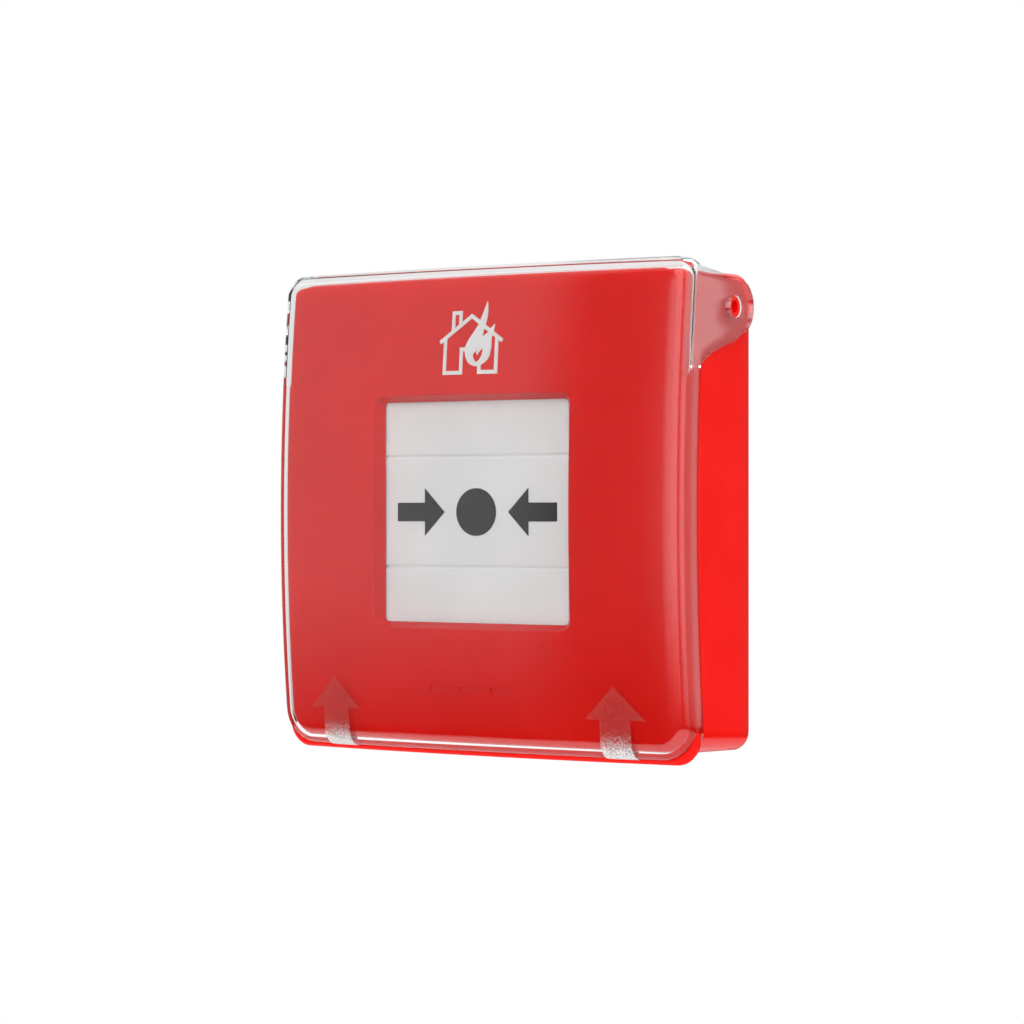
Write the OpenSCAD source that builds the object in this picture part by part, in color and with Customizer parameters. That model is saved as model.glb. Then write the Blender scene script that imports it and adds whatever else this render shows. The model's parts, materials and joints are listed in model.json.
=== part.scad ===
// Manual call point: a wall-mounted fire alarm box with a press panel under a hinged clear cover.
// Origin: centre of the wall face. +Z up, +Y into the wall, the front faces -Y.
// "Depth" is always the distance in front of the wall, so a depth of 20 lies at Y = -20.

/* [Case] */
// Width of the case where it meets the wall
case_w = 104; // [90:0.5:130]
// Height of the case where it meets the wall
case_h = 103.8; // [90:0.5:130]
// Corner radius of the case at the wall
case_corner_r = 4.3; // [3:0.1:6]
// How far each side wall leans out from the wall to the front rim
side_lean = 1.9; // [1:0.1:2.2]
// How far the bottom wall leans in from the wall to the front rim
bottom_lean = 0.9; // [0:0.1:1.5]
// Side wall thickness of the case
wall_t = 2.1; // [1.6:0.1:2.6]
// Depth of the middle of the front face
face_depth = 32.5; // [31:0.5:38]
// How far the middle of the front face stands in front of its corners
dome_rise = 6.1; // [4:0.1:7]
// Thickness of the front face
face_t = 2.4; // [2:0.1:3]
// Step from the front face down to the shoulder around it
shoulder_step = 0.4; // [0.3:0.1:0.8]
// Width of the shoulder at each side
shoulder_w = 2.8; // [2:0.1:4]
// Height of the lip that stands below the bottom wall at the front
rim_lip = 2.5; // [1.5:0.1:3]
// Thickness of that lip from front to back
rim_t = 3; // [2:0.5:5]
// Corner radius of the front face
face_corner_r = 5.2; // [4:0.1:7]

/* [Window and panel] */
// Width of the window at its inner edge
window_w = 48.4; // [40:0.2:56]
// Height of the window at its inner edge
window_h = 48.6; // [40:0.2:54]
// Depth of the window's inner edge
window_depth = 28.8; // [28.4:0.1:30]
// How much the window widens at each side per unit of depth
window_flare_x = 0.6; // [0.3:0.05:1]
// How much the window widens at top and bottom per unit of depth
window_flare_z = 0.48; // [0.3:0.05:1]
// How far the panel reaches behind the window's edge
panel_lap = 2.6; // [1.5:0.1:4]
// How far the top of the panel reaches behind the window's edge
panel_top_lap = 0.6; // [0.4:0.1:1]
// Thickness of the panel
panel_t = 2; // [1.5:0.1:3]
// How far the panel goes in when pressed
press_travel = 1.5; // [1:0.1:2]
// How far the panel drops when pressed
drop_travel = 3.2; // [2:0.1:4]
// Height of the two shallow grooves above and below the middle of the panel
groove_z = 12.15; // [8:0.05:16]
// Width of each groove
groove_w = 1.1; // [0.6:0.1:2]
// Depth of each groove
groove_t = 0.4; // [0.2:0.1:0.8]

/* [Clear cover] */
// Thickness of the clear cover's front
cover_t = 1.6; // [1.4:0.1:2.4]
// Gap between the front face and the cover
cover_gap = 0.9; // [0.8:0.1:1.2]
// Thickness of the cover's hinge wings
wing_t = 1.4; // [1.2:0.1:1.6]
// Corner radius of the cover at the top
cover_top_r = 5; // [4:0.5:6]
// Corner radius of the cover at the bottom
cover_low_r = 8; // [5:0.5:10]
// Distance of the hinge axis from the wall
hinge_depth = 9.5; // [9:0.1:12]
// Distance of the hinge axis below the top of the case
hinge_drop = 7.9; // [7.5:0.1:10]
// Radius of the hinge stubs
stub_r = 2.28; // [1.8:0.01:2.6]
// Radial clearance of the hinge stubs
hinge_play = 0.07; // [0.03:0.01:0.1]
// Radius of the wing's rounded end
wing_end_r = 5.8; // [5:0.1:7]

/* [Wall plate] */
// Thickness of the mounting plate
plate_t = 2.4; // [2:0.1:2.6]
// Distance between the wall screw holes
wall_screw_gap = 60; // [54:0.5:64]
// Radius of the wall screw holes
wall_screw_r = 2.2; // [1.8:0.1:2.6]
// How far the case lifts to come off the plate
lift_travel = 6; // [4:0.5:7]

/* [Inside] */
// Depth of the circuit board's rear face
board_depth = 14; // [13.5:0.1:15]
// Thickness of the circuit board
board_t = 1.6; // [1.2:0.2:2]
// Radius of one battery cell
cell_r = 8.5; // [7:0.1:8.6]
// Length of one battery cell
cell_len = 34.5; // [30:0.5:34.5]
// Radius of the reset key's hole
key_r = 2; // [1.5:0.1:2.5]
// How far the reset slider lifts
reset_travel = 3; // [2:0.1:3.4]

/* [Hidden] */
$fn = 64;
dome_fn = 256;

gap = 0.3;            // clearance between parts that move past each other
play = 0.05;          // radial clearance of a plunger in its bore
eps = 0.01;           // overlap that joins two solids of one part
through = 5;          // how far a cut runs past the face that it opens
case_top = case_h / 2;
case_side = case_w / 2;
rim_side = case_side + side_lean;
rim_bottom = -case_top + bottom_lean - rim_lip;
face_side = rim_side - shoulder_w;
face_top = case_top - 0.6;
half_diagonal_sq = face_side * face_side + face_top * face_top;
dome_r = half_diagonal_sq / (2 * dome_rise) + dome_rise / 2;
dome_y = dome_r - face_depth;
lean_front = 27;      // depth where the leaning side walls end
rim_r = 5;
far_front = face_depth + 8;

lip_w = 3.2;          // width of the flat lip behind the window's edge
panel_front = window_depth - gap;
panel_back = panel_front - panel_t;
panel_side = window_w / 2 + panel_lap;
panel_top = window_h / 2 + panel_top_lap;
panel_bottom = -window_h / 2 - panel_lap;
ink_t = 0.15;

carrier_front = panel_back - 2;
carrier_t = 2;
carrier_back = carrier_front - carrier_t;
rail_t = 1.8;
carrier_side = panel_side + gap + rail_t;
carrier_top = window_h / 2 + 2.7;
carrier_bottom = panel_bottom - drop_travel - 2;
pocket_side = carrier_side + 1;
post_x = carrier_side + 4;
post_r = 2;
post_back = board_depth + board_t + gap;
lug_x = 15;
lug_w = 4;
lug_h = 6;

board_front = board_depth + board_t;
board_side = case_side - 8;
board_top = window_h / 2 + 1.7;
board_bottom = -case_top + 14;
board_screw_x = board_side - 4;
board_screw_high = board_top - 4;
board_screw_low = board_bottom + 4;

hinge_z = case_top - hinge_drop;
cover_side = rim_side + 0.1;
cover_top = case_top + 2.1;
cover_bottom = rim_bottom + 0.9;
cover_inner_r = dome_r + cover_gap;
cover_outer_r = cover_inner_r + cover_t;
cover_edge_r = dome_r;
skirt_t = 2.4;        // thickness of the cover's edge below the wings
wing_end_depth = hinge_depth - 2.1;
wing_end_z = hinge_z + 0.2;
wing_swing_r = hinge_depth - wing_end_depth + wing_end_r + gap;

cover_plate_back = plate_t + 0.6;      // depth of the back cover's rear face
cover_plate_t = 2.2;
cover_plate_front = cover_plate_back + cover_plate_t;
gasket_t = 0.8;
ledge_depth = cover_plate_front + gasket_t;
ledge_t = 2;
ledge_w = 2.2;
inner_side = case_side - wall_t;
inner_top = case_top - wall_t;
fit_gap = 0.25;       // gap between the back cover and the walls around it

case_screw_x = case_side - 9;
case_screw_z = case_top - 9;
boss_r = 3.6;
screw_r = 1.25;
screw_head_r = 2.3;
screw_head_t = 1.2;

hook_x = case_side - 8.5;
hook_w = 8;
hook_t = 3;
hook_lip = 4;
hook_lip_t = 1.6;
hook_high = 28;
hook_low = -24;

plate_side = inner_side - 2.9;
plate_top = inner_top - 2.8;
plate_bottom = -inner_top + lift_travel + 2.2;

cell_z = inner_top - cell_r - 2.8;
cell_depth = cover_plate_front + cell_r + 0.5;
holder_t = 1.5;
contact_t = 0.6;
cell_gap = 1.6;       // space between the two cells, for the link contact

tamper_x = -14;
power_x = 20;
button_z = -28;
tamper_r = 2;
power_r = 2.5;
switch_t = 2;
plunger_x = 12;
plunger_z = -12;
plunger_r = 1.6;
led_z = -20;
key_depth = 20;
slider_top = carrier_bottom - reset_travel - 0.8;
slider_w = 7;
slider_t = 4;
slider_bottom = -inner_top + 2.6;
foot_t = 1.4;
spring_len = 7;

// ---------- shapes that repeat ----------

// Rounded rectangle around the origin
module rounded(w, h, r) {
    square([w - 2 * r, h], center = true);
    square([w, h - 2 * r], center = true);
    for (sx = [-1, 1], sy = [-1, 1])
        translate([sx * (w / 2 - r), sy * (h / 2 - r)]) circle(r);
}

// Rounded rectangle from low to high edges
module rounded_span(side, low, high, r) {
    translate([0, (low + high) / 2]) rounded(2 * side, high - low, r);
}

// A front-view outline made solid between two depths
module slab(back, front) {
    translate([0, -back, 0]) rotate([90, 0, 0]) linear_extrude(height = front - back) children();
}

// A side-view outline (depth, height) made solid between two X values
module side_plate(x_low, x_high) {
    translate([x_low, 0, 0])
        rotate([90, 0, 90])
            linear_extrude(height = x_high - x_low) mirror([1, 0, 0]) children();
}

// A rod along the depth
module rod(x, z, back, front, r) {
    translate([x, -back, z]) rotate([90, 0, 0]) cylinder(h = front - back, r = r);
}

// A box given by its middle in X and Z, its size, and its two depths
module block(x, z, w, h, back, front) {
    translate([x - w / 2, -front, z - h / 2]) cube([w, front - back, h]);
}

// Ball whose near side is the domed front surface of radius r
module dome(r) {
    translate([0, dome_y, 0]) sphere(r = r, $fn = dome_fn);
}

// Skin between two dome radii, cut to a front-view outline
module dome_skin(r, t) {
    intersection() {
        slab(lean_front - 5, far_front + 5) children();
        difference() {
            dome(r + t);
            dome(r);
        }
    }
}

// Coil spring along the depth
module coil(x, z, back, front, r, wire_r, turns) {
    per_turn = 12;
    sides = 6;
    steps = turns * per_turn;
    rise = (front - back - 2 * wire_r) / steps;
    points = [
        for (i = [0 : steps], k = [0 : sides - 1])
            let (a = i * 360 / per_turn, b = k * 360 / sides, q = r + wire_r * cos(b))
                [x + q * cos(a), -(back + wire_r + i * rise + wire_r * sin(b)), z + q * sin(a)]
    ];
    walls = [
        for (i = [0 : steps - 1], k = [0 : sides - 1])
            let (n = (k + 1) % sides)
                [i * sides + k, i * sides + n, (i + 1) * sides + n, (i + 1) * sides + k]
    ];
    cap_low = [[for (k = [sides - 1 : -1 : 0]) k]];
    cap_high = [[for (k = [0 : sides - 1]) steps * sides + k]];
    polyhedron(points = points, faces = concat(cap_low, walls, cap_high));
}

// ---------- case ----------

// Everything between the leaning side walls
module between_sides() {
    linear_extrude(height = 2 * case_h, center = true)
        polygon([
            [-case_side, 0], [-rim_side, -lean_front], [-rim_side, -far_front],
            [rim_side, -far_front], [rim_side, -lean_front], [case_side, 0]
        ]);
}

// Everything between the top wall and the leaning bottom wall
module between_top_and_bottom() {
    low_front = -case_top + bottom_lean;
    side_plate(-case_w, case_w)
        polygon([
            [0, -case_top], [0, case_top], [lean_front, face_top], [far_front, face_top],
            [far_front, low_front], [lean_front, low_front]
        ]);
}

module case_outside() {
    lip_root = -case_top / 2;
    intersection() {
        union() {
            intersection() {
                slab(0, far_front) rounded_span(rim_side, -case_top, case_top, case_corner_r + side_lean);
                between_top_and_bottom();
            }
            slab(lean_front - rim_t, far_front) rounded_span(rim_side, rim_bottom, lip_root, rim_r);
        }
        between_sides();
        dome(dome_r - shoulder_step);
    }
    intersection() {
        slab(lean_front - 8, far_front) rounded_span(face_side, -face_top, face_top, face_corner_r);
        dome(dome_r);
    }
}

module window_pocket() {
    slab(board_front + 2, window_depth)
        rounded_span(pocket_side, carrier_bottom - 1, carrier_top + 1, 2);
}

module case_inside() {
    difference() {
        intersection() {
            slab(-through, far_front) rounded(2 * inner_side, 2 * inner_top, 2.5);
            dome(dome_r - face_t);
        }
        slab(window_depth, far_front)
            rounded_span(window_w / 2 + lip_w, -window_h / 2 - lip_w, window_h / 2 + lip_w, 2);
    }
}

// The window, with four flat bevels that meet in mitres
module window_cut() {
    back = window_depth - 1;
    front = far_front;
    side_back = window_w / 2 - window_flare_x;
    side_front = window_w / 2 + window_flare_x * (front - window_depth);
    top_back = window_h / 2 - window_flare_z;
    top_front = window_h / 2 + window_flare_z * (front - window_depth);
    intersection() {
        linear_extrude(height = case_h, center = true)
            polygon([[-side_back, -back], [side_back, -back], [side_front, -front], [-side_front, -front]]);
        side_plate(-case_w / 2, case_w / 2)
            polygon([[back, -top_back], [back, top_back], [front, top_front], [front, -top_front]]);
    }
}

// Side view of a hinge wing, grown by a margin
module wing_side(margin) {
    translate([wing_end_depth, wing_end_z]) circle(wing_end_r + margin);
    polygon([
        [wing_end_depth, wing_end_z + wing_end_r + margin],
        [wing_end_depth, wing_end_z - wing_end_r - margin],
        [hinge_depth + 5.7, hinge_z - 8.2 - margin],
        [hinge_depth + 11, hinge_z - 10.6 - margin],
        [hinge_depth + 15.6, hinge_z - 13.1 - margin],
        [hinge_depth + 18.5, hinge_z - 14.8 - margin],
        [far_front, hinge_z - 15.4 - margin],
        [far_front, hinge_z + 10.2 + margin]
    ]);
}

// Room in the case's sides for the wings, over their whole swing
module wing_recess() {
    behind_skirt = cover_side - skirt_t - 0.1;
    behind_wing = cover_side - wing_t - 0.15;
    for (side = [0, 1]) mirror([side, 0, 0]) {
        side_plate(behind_skirt, behind_skirt + through) {
            wing_side(0.4);
            translate([-through, hinge_z - 1]) square([far_front + through, case_h / 4]);
        }
        side_plate(behind_wing, behind_wing + through)
            translate([hinge_depth, hinge_z]) circle(wing_swing_r);
    }
}

// Plain sunk bars below the window
module face_mark() {
    bar_w = 6;
    bar_h = 1.6;
    bar_depth = 0.5;
    mark_z = -(window_h / 2 + 14.5);
    difference() {
        slab(lean_front, far_front)
            for (i = [-1 : 1])
                translate([i * (bar_w + 2), mark_z]) rounded(bar_w, bar_h, bar_h / 2 - eps);
        dome(dome_r - bar_depth);
    }
}

// Depth of the front face's inner side at a place on it
function face_back(x, z) = sqrt(pow(dome_r - face_t, 2) - x * x - z * z) - dome_y;

// Post that runs from a depth into the front face, wherever the face lies
module face_post(x, z, back, r) {
    bite = 0.5;
    rod(x, z, back, face_back(x, z) + bite, r);
}

module screw_posts() {
    board_boss_r = 3;
    for (sx = [-1, 1]) {
        for (sz = [-1, 1])
            face_post(sx * case_screw_x, sz * case_screw_z, cover_plate_front + gap, boss_r);
        for (z = [board_screw_high, board_screw_low])
            face_post(sx * board_screw_x, z, board_front, board_boss_r);
        face_post(sx * post_x, 0, post_back, post_r);
    }
}

module gasket_ledge() {
    slab(ledge_depth, ledge_depth + ledge_t) difference() {
        rounded(2 * inner_side + 1, 2 * inner_top + 1, 2.5);
        rounded(2 * (inner_side - ledge_w), 2 * (inner_top - ledge_w), 1.5);
    }
}

module hinge_stubs() {
    stub_len = rim_side - inner_side;
    for (side = [-1, 1])
        translate([side > 0 ? inner_side : -rim_side, -hinge_depth, hinge_z])
            rotate([0, 90, 0]) cylinder(h = stub_len, r = stub_r);
}

module front_shell() {
    color("red") difference() {
        union() {
            difference() {
                case_outside();
                case_inside();
                window_pocket();
                wing_recess();
            }
            screw_posts();
            gasket_ledge();
            hinge_stubs();
        }
        window_cut();
        face_mark();
        for (sx = [-1, 1]) {
            for (sz = [-1, 1])
                rod(sx * case_screw_x, sz * case_screw_z, 0, lean_front - 8, screw_r + play);
            for (z = [board_screw_high, board_screw_low])
                rod(sx * board_screw_x, z, 0, board_front + 7, 1 + play);
        }
        translate([0, -key_depth, -case_top - through]) cylinder(h = through + 2 * wall_t, r = key_r);
    }
}

// Smooth line through a list of points, ends included
function curve(points, steps = 4) = let (last = len(points) - 1) concat(
    [for (i = [0 : last - 1])
        let (p = points[max(i - 1, 0)], q = points[i], r = points[i + 1], s = points[min(i + 2, last)])
            for (k = [0 : steps - 1])
                let (t = k / steps)
                    q + t / 2 * (r - p) + t * t / 2 * (2 * p - 5 * q + 4 * r - s)
                        + t * t * t / 2 * (3 * q - p - 3 * r + s)],
    [points[last]]
);

// Outer edge of the flame: its round belly, then its two tips
module flame_outline() {
    belly = [
        [2.1, 40.8], [1.0, 39.25], [-0.35, 37.5], [-1.1, 35.95], [-1.2, 34.9], [-0.45, 32.8], [1.35, 31.75],
        [3.1, 31.95], [4.95, 33.25], [5.6, 35.2], [5.7, 37], [5.76, 38.4], [6.2, 39.4], [6.37, 40.85]
    ];
    small_tip = [[6.37, 40.85], [5.3, 39.85], [4.65, 39.05], [3.34, 38.15]];
    waist = [[3.34, 38.15], [3.55, 39.5], [3.95, 40.7], [4.35, 42.3], [4.4, 44.3], [4.16, 45.9]];
    tall_tip = [[4.16, 45.9], [3.65, 44.5], [3.1, 43.1], [2.1, 40.8]];
    polygon(concat(curve(belly), curve(small_tip), curve(waist), curve(tall_tip)));
}

// Small flame left open inside the big one
module flame_heart() {
    right = [[3.4, 35.65], [3.45, 34.65], [2.75, 33.25], [1.8, 32.55]];
    left = [[1.8, 32.55], [1.05, 33.65], [1.15, 34.5], [2.1, 35.3]];
    fork = [[2.1, 35.3], [1.85, 34.6], [2.1, 34.1]];
    polygon(concat(curve(right), curve(left), curve(fork), curve([[2.1, 34.1], [2.5, 34.7], [3.4, 35.65]])));
}

// Step from point i of a line to the edge of a band w wide that follows it, with mitred corners
function band_step(points, i, w) = let (
    last = len(points) - 1,
    before = points[max(i, 1)] - points[max(i, 1) - 1],
    after = points[min(i + 1, last)] - points[min(i + 1, last) - 1],
    turn = before / norm(before) + after / norm(after),
    across = [-turn[1], turn[0]]
) across / (across * across) * w;

// Band of even width that follows a line of points, square at its ends
module band(points, w) {
    count = len(points);
    polygon(concat(
        [for (i = [0 : count - 1]) points[i] + band_step(points, i, w)],
        [for (i = [count - 1 : -1 : 0]) points[i] - band_step(points, i, w)]
    ));
}

module house_outline() {
    line = 0.85;
    centre = 0.3;
    wall_x = 6.75;
    eave_x = 8.15;
    base = 30.4;
    eave = 37.5;
    apex = 42.7;
    door_x = 2.4;
    lintel = 35.5;
    chimney_left = -4.8;
    chimney_right = -2.95;
    chimney_top = 43.5;
    translate([centre, 0]) {
        band([[-eave_x, eave - 0.4], [0, apex], [eave_x, eave - 0.4]], line);
        band([[-wall_x, eave + 0.5], [-wall_x, base], [-door_x, base], [-door_x, lintel], [0, lintel]], line);
        band([[wall_x, eave + 0.5], [wall_x, base], [door_x, base], [door_x, lintel]], line);
        band([
            [chimney_left, eave + 1.8], [chimney_left, chimney_top], [chimney_right, chimney_top],
            [chimney_right, eave + 3.1]
        ], line);
    }
}

module house_symbol() {
    symbol_shift = window_h / 2 - 24.3;
    color("white") dome_skin(dome_r, ink_t) translate([0, symbol_shift]) {
        difference() {
            union() {
                house_outline();
                flame_outline();
            }
            flame_heart();
        }
    }
}

// ---------- back of the case ----------

module hook_slots() {
    for (sx = [-1, 1], z = [hook_high, hook_low])
        block(sx * hook_x, z - hook_t / 2 - lift_travel / 2, hook_w + 2 * gap,
            hook_t + lift_travel + 2 * gap, 0, ledge_depth);
}

module back_cover() {
    color("firebrick") difference() {
        union() {
            slab(cover_plate_back, cover_plate_front)
                rounded(2 * (inner_side - fit_gap), 2 * (inner_top - fit_gap), 2.2);
            for (x = [tamper_x, power_x]) rod(x, button_z, cover_plate_back, ledge_depth + 1.6, 4.2);
        }
        hook_slots();
        rod(tamper_x, button_z, 0, board_depth, tamper_r + play);
        rod(power_x, button_z, 0, board_depth, power_r + play);
        for (sx = [-1, 1], sz = [-1, 1]) {
            rod(sx * case_screw_x, sz * case_screw_z, 0, board_depth, screw_r + 0.2);
            rod(sx * case_screw_x, sz * case_screw_z, 0, cover_plate_back + screw_head_t + 0.2,
                screw_head_r + 0.2);
        }
    }
}

module shell_gasket() {
    color("dimgray") slab(cover_plate_front, ledge_depth) difference() {
        rounded(2 * (inner_side - 0.3), 2 * (inner_top - 0.3), 2.2);
        rounded(2 * (inner_side - ledge_w + 0.2), 2 * (inner_top - ledge_w + 0.2), 1.5);
    }
}

// Screw with a crossed head, pointing to the front
module screw(x, z, head_back, length, r, head_r, head_t) {
    slot_w = 0.5;
    difference() {
        union() {
            rod(x, z, head_back, head_back + head_t, head_r);
            rod(x, z, head_back, head_back + head_t + length, r);
        }
        block(x, z, head_r * 1.3, slot_w, head_back - 1, head_back + head_t / 2);
        block(x, z, slot_w, head_r * 1.3, head_back - 1, head_back + head_t / 2);
    }
}

module case_screws() {
    color("silver") for (sx = [-1, 1], sz = [-1, 1])
        screw(sx * case_screw_x, sz * case_screw_z, cover_plate_back + 0.2, 8, screw_r, screw_head_r,
            screw_head_t);
}

// ---------- electronics ----------

module circuit_board() {
    color("darkgreen") difference() {
        slab(board_depth, board_front) rounded_span(board_side, board_bottom, board_top, 1);
        for (sx = [-1, 1], z = [board_screw_high, board_screw_low])
            rod(sx * board_screw_x, z, board_depth - 1, board_front + 1, 1 + 0.2);
    }
}

module board_screws() {
    head_t = 1.2;
    color("silver") for (sx = [-1, 1], z = [board_screw_high, board_screw_low])
        screw(sx * board_screw_x, z, board_depth - head_t, 6, 1, 2, head_t);
}

module battery_holder() {
    side = cell_len + cell_gap / 2 + contact_t + 0.3;
    floor_back = cell_depth + cell_r + 0.2;
    wall_h = 2 * cell_r - 4;
    color("black") {
        block(0, cell_z, 2 * (side + holder_t), 2 * cell_r + 1, floor_back, floor_back + holder_t);
        for (sx = [-1, 1])
            block(sx * (side + holder_t / 2), cell_z, holder_t, wall_h, cell_depth - 2, floor_back + eps);
    }
}

// One cell along X, with the raised cap at its outer end
module cell(side) {
    cap_t = 1;
    cap_r = 3;
    translate([side * cell_gap / 2, -cell_depth, cell_z]) rotate([0, side * 90, 0]) {
        cylinder(h = cell_len - cap_t, r = cell_r);
        cylinder(h = cell_len, r = cap_r);
    }
}

module battery_left() {
    color("gold") cell(-1);
}

module battery_right() {
    color("gold") cell(1);
}

module battery_contacts() {
    end_x = cell_gap / 2 + cell_len;
    color("silver") {
        for (sx = [-1, 1])
            block(sx * (end_x + contact_t / 2), cell_z, contact_t, 8, cell_depth - 4, cell_depth + 4);
        block(0, cell_z, cell_gap - 0.4, 10, cell_depth - 4, cell_depth + 4);
    }
}

module antenna() {
    strip_t = 0.4;
    color("silver") {
        block(-board_side + 2, -2, strip_t, 36, board_depth - 5, board_depth - 1);
        block(-board_side + 2, 15, strip_t, 2, board_depth - 5, board_depth);
        block(-board_side + 2, -19, strip_t, 2, board_depth - 5, board_depth);
    }
}

module radio_shield() {
    color("silver") block(-26, -2, 16, 14, board_depth - 2.4, board_depth);
}

module control_chip() {
    color("black") block(4, 4, 9, 9, board_depth - 1.2, board_depth);
}

module press_switch() {
    color("black") difference() {
        block(plunger_x, plunger_z, 9, 7, board_front, board_front + 4);
        rod(plunger_x, plunger_z, board_front + 0.3, board_front + 5, plunger_r + play);
    }
}

module switch_plunger() {
    color("ivory") rod(plunger_x, plunger_z, board_front + 0.4 + press_travel, carrier_back - gap, plunger_r);
}

module tamper_switch() {
    color("black") block(tamper_x, button_z, 6, 6, board_depth - switch_t, board_depth);
}

module power_switch() {
    color("black") block(power_x, button_z, 6, 6, board_depth - switch_t, board_depth);
}

module tamper_plunger() {
    color("ivory") rod(tamper_x, button_z, plate_t + gap, board_depth - switch_t - 1, tamper_r);
}

module power_button() {
    color("dimgray") rod(power_x, button_z, cover_plate_back + 0.4, board_depth - switch_t - 0.8, power_r);
}

module status_led() {
    color("white") {
        block(0, led_z, 3.4, 3, board_front, board_front + 1);
        rod(0, led_z, board_front + 1 - eps, board_front + 2, 1.2);
    }
}

// ---------- press mechanism ----------

module carrier_frame() {
    tab_w = post_x + post_r + 1.5 - carrier_side;
    color("ivory") difference() {
        union() {
            slab(carrier_back, carrier_front)
                rounded_span(carrier_side, carrier_bottom, carrier_top, 1.5);
            for (sx = [-1, 1]) {
                block(sx * (carrier_side + tab_w / 2 - 0.5), 0, tab_w + 1, 9, carrier_back, carrier_front);
                block(sx * (carrier_side - rail_t / 2), (carrier_bottom + carrier_top) / 2, rail_t,
                    carrier_top - carrier_bottom - 3, carrier_front - eps, panel_front - 0.2);
            }
        }
        for (sx = [-1, 1]) {
            rod(sx * post_x, 0, carrier_back - 1, carrier_front + 1, post_r + play);
            block(sx * lug_x, -drop_travel / 2, lug_w + 2 * gap, lug_h + drop_travel + 2 * gap,
                carrier_back - 1, carrier_front + 1);
        }
        rod(0, led_z, carrier_back - 1, carrier_front + 1, 1.8);
    }
}

module alarm_strip() {
    strip_h = 6;
    color("yellow")
        block(0, panel_top - strip_h / 2 + 0.4, 2 * (panel_side - 1), strip_h, carrier_front, carrier_front + 1);
}

module return_springs() {
    color("silver") for (sx = [-1, 1])
        coil(sx * post_x, 0, board_front, carrier_back, post_r + 0.9, 0.3, 4);
}

module push_panel() {
    color("white") difference() {
        union() {
            slab(panel_back, panel_front) rounded_span(panel_side, panel_bottom, panel_top, 1.5);
            for (sx = [-1, 1])
                block(sx * lug_x, 0, lug_w, lug_h, carrier_back + 0.5, panel_back + eps);
        }
        for (sz = [-1, 1])
            block(0, sz * groove_z, 2 * panel_side + 2, groove_w, panel_front - groove_t, panel_front + 1);
    }
}

module panel_symbols() {
    dot_r = 5.22;
    tip = 8.4;
    neck = 13.65;
    tail = 21;
    head_half = 5.22;
    shaft_half = 2.05;
    color("dimgray") slab(panel_front, panel_front + ink_t) {
        circle(dot_r);
        for (sx = [0, 1]) mirror([sx, 0])
            polygon([
                [tip, 0], [neck, head_half], [neck, shaft_half], [tail, shaft_half],
                [tail, -shaft_half], [neck, -shaft_half], [neck, -head_half]
            ]);
    }
}

// ---------- reset ----------

module reset_guide() {
    cheek = 1.6;
    width = slider_w + 2 * (gap + cheek);
    height = slider_top - slider_bottom - 2;
    middle = (slider_top + slider_bottom) / 2 - 1;
    bridge_t = 1.4;
    bridge_z = slider_bottom + foot_t + spring_len + bridge_t / 2;
    color("dimgray") {
        intersection() {
            for (sx = [-1, 1])
                block(sx * (width - cheek) / 2, middle, cheek, height, board_front, far_front);
            dome(dome_r - face_t);
        }
        block(0, bridge_z, width, bridge_t, key_depth + slider_t / 2 + gap, window_depth - 3);
    }
}

module reset_slider() {
    color("ivory") {
        block(0, (slider_top + slider_bottom) / 2, slider_w, slider_top - slider_bottom,
            key_depth - slider_t / 2, key_depth + slider_t / 2);
        block(0, slider_bottom + foot_t / 2, slider_w, foot_t, key_depth - slider_t / 2,
            key_depth + slider_t / 2 + 4);
    }
}

module reset_spring() {
    color("silver") translate([0, -key_depth - slider_t / 2 - 2, slider_bottom + foot_t])
        rotate([-90, 0, 0]) coil(0, 0, 0, spring_len, 1.5, 0.25, 4);
}

// ---------- clear cover ----------

module cover_outline(inset, low_inset) {
    side = cover_side - inset;
    top = cover_top - inset;
    bottom = cover_bottom + low_inset;
    top_r = cover_top_r - inset;
    low_r = cover_low_r - inset;
    translate([0, (bottom + low_r + top) / 2])
        square([2 * (side - top_r), top - bottom - low_r], center = true);
    translate([-side, bottom + low_r]) square([2 * side, top - top_r - bottom - low_r]);
    translate([-side + low_r, bottom]) square([2 * (side - low_r), low_r * 2]);
    for (sx = [-1, 1]) {
        translate([sx * (side - top_r), top - top_r]) circle(top_r);
        translate([sx * (side - low_r), bottom + low_r]) circle(low_r);
    }
}

module cover() {
    color("white", 0.3) difference() {
        union() {
            intersection() {
                slab(lean_front - 8, far_front) cover_outline(0, 0);
                difference() {
                    dome(cover_outer_r);
                    dome(cover_edge_r);
                }
            }
            intersection() {
                slab(0, far_front) difference() {
                    cover_outline(0, 0);
                    cover_outline(wing_t, wing_t);
                }
                side_plate(-case_w, case_w) wing_side(0);
                dome(cover_outer_r);
            }
        }
        intersection() {
            slab(0, far_front) cover_outline(skirt_t, -through);
            dome(cover_inner_r);
        }
        translate([-case_w, -hinge_depth, hinge_z])
            rotate([0, 90, 0]) cylinder(h = 2 * case_w, r = stub_r + hinge_play);
    }
}

module cover_arrows() {
    arrow_x = 36.8;
    tip = cover_bottom + 15.7;
    barb = tip - 7.1;
    head_half = 7.15;
    shaft_half = 3.7;
    color("gainsboro") dome_skin(cover_outer_r, 0.1)
        for (sx = [-1, 1]) translate([sx * arrow_x, 0])
            polygon([
                [0, tip], [head_half, barb], [shaft_half, barb], [shaft_half, cover_bottom + 3],
                [-shaft_half, cover_bottom + 3], [-shaft_half, barb], [-head_half, barb]
            ]);
}

// ---------- wall plate ----------

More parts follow.
